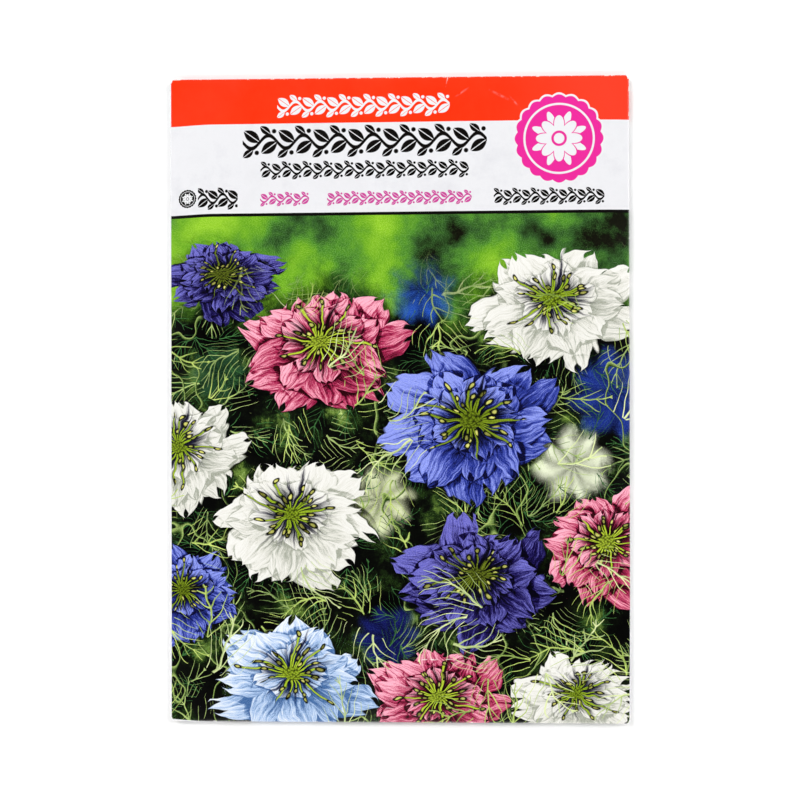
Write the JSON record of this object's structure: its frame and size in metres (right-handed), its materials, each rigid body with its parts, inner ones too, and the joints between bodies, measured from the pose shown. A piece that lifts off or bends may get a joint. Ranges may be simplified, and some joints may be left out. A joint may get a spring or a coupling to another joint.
{
  "type": "seed packet",
  "caption": "Sealed flat paper seed packet with a glossy printed floral front, glued side seam and end flaps, and loose seeds inside.",
  "frame": {"origin": "on the surface that the packet lies on, under the middle of the pocket", "axes": "+X across the packet to the right as the printed front is read, +Y up the packet towards its top fold, +Z out of the printed front"},
  "size_m": [0.082, 0.115, 0.0021],
  "materials": {
    "printed_paper": "gloss-coated paper, offset printed outside, bare white inside",
    "dried_glue": "dried vegetable adhesive, slightly yellow and translucent",
    "seed_coat": "dull black, wrinkled seed coat"
  },
  "bodies": {
    "root": {"paper_sleeve": "printed_paper", "side_seam_glue": "dried_glue", "bottom_flap_glue": "dried_glue", "closing_flap_glue": "dried_glue", "seeds": "seed_coat"}
  },
  "joints": []
}
